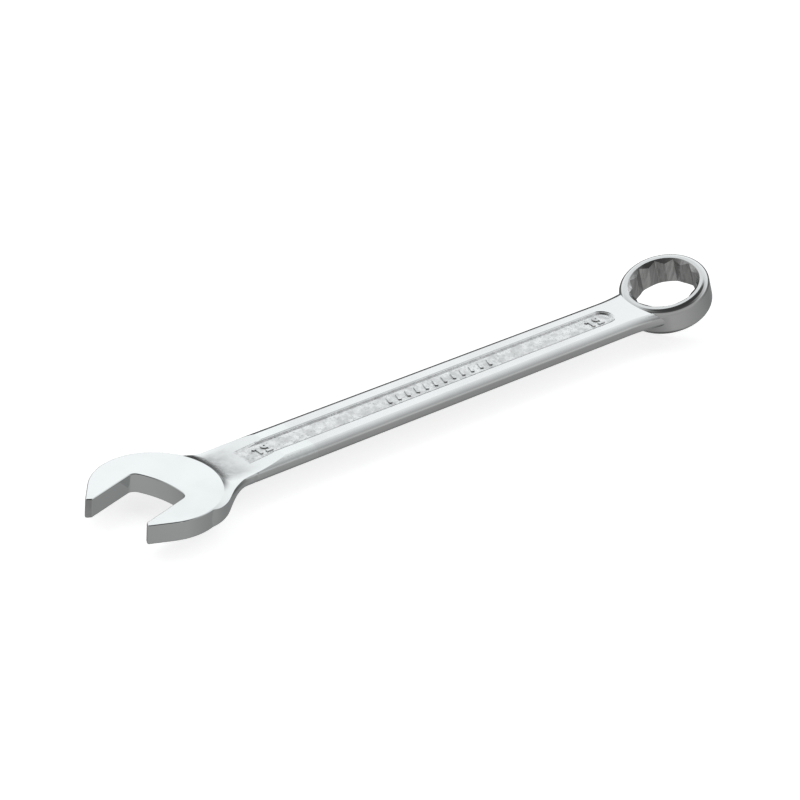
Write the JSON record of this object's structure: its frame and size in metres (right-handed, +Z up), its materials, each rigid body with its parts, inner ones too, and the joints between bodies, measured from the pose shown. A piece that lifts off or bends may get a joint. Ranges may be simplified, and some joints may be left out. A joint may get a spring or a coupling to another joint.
{
  "type": "combination wrench",
  "caption": "Combination wrench: offset open jaw at one end, tilted twelve-point ring at the other, flat shank with sunk panels, polished plated steel.",
  "frame": {"origin": "under the middle of the wrench, at the height of its lowest point (the ring's lower edge)", "axes": "+X along the shank from the open jaw to the ring, +Z up out of the head's flat face, +Y to the left"},
  "size_m": [0.2346, 0.039, 0.0174],
  "materials": {
    "head_steel": "nickel-chrome plate, faces ground and polished",
    "shank_steel": "nickel-chrome plate, polished rims, satin forged panels",
    "ring_steel": "nickel-chrome plate, polished, broached socket"
  },
  "bodies": {
    "root": {"open_end": "head_steel", "shank": "shank_steel", "ring_end": "ring_steel"}
  },
  "joints": []
}
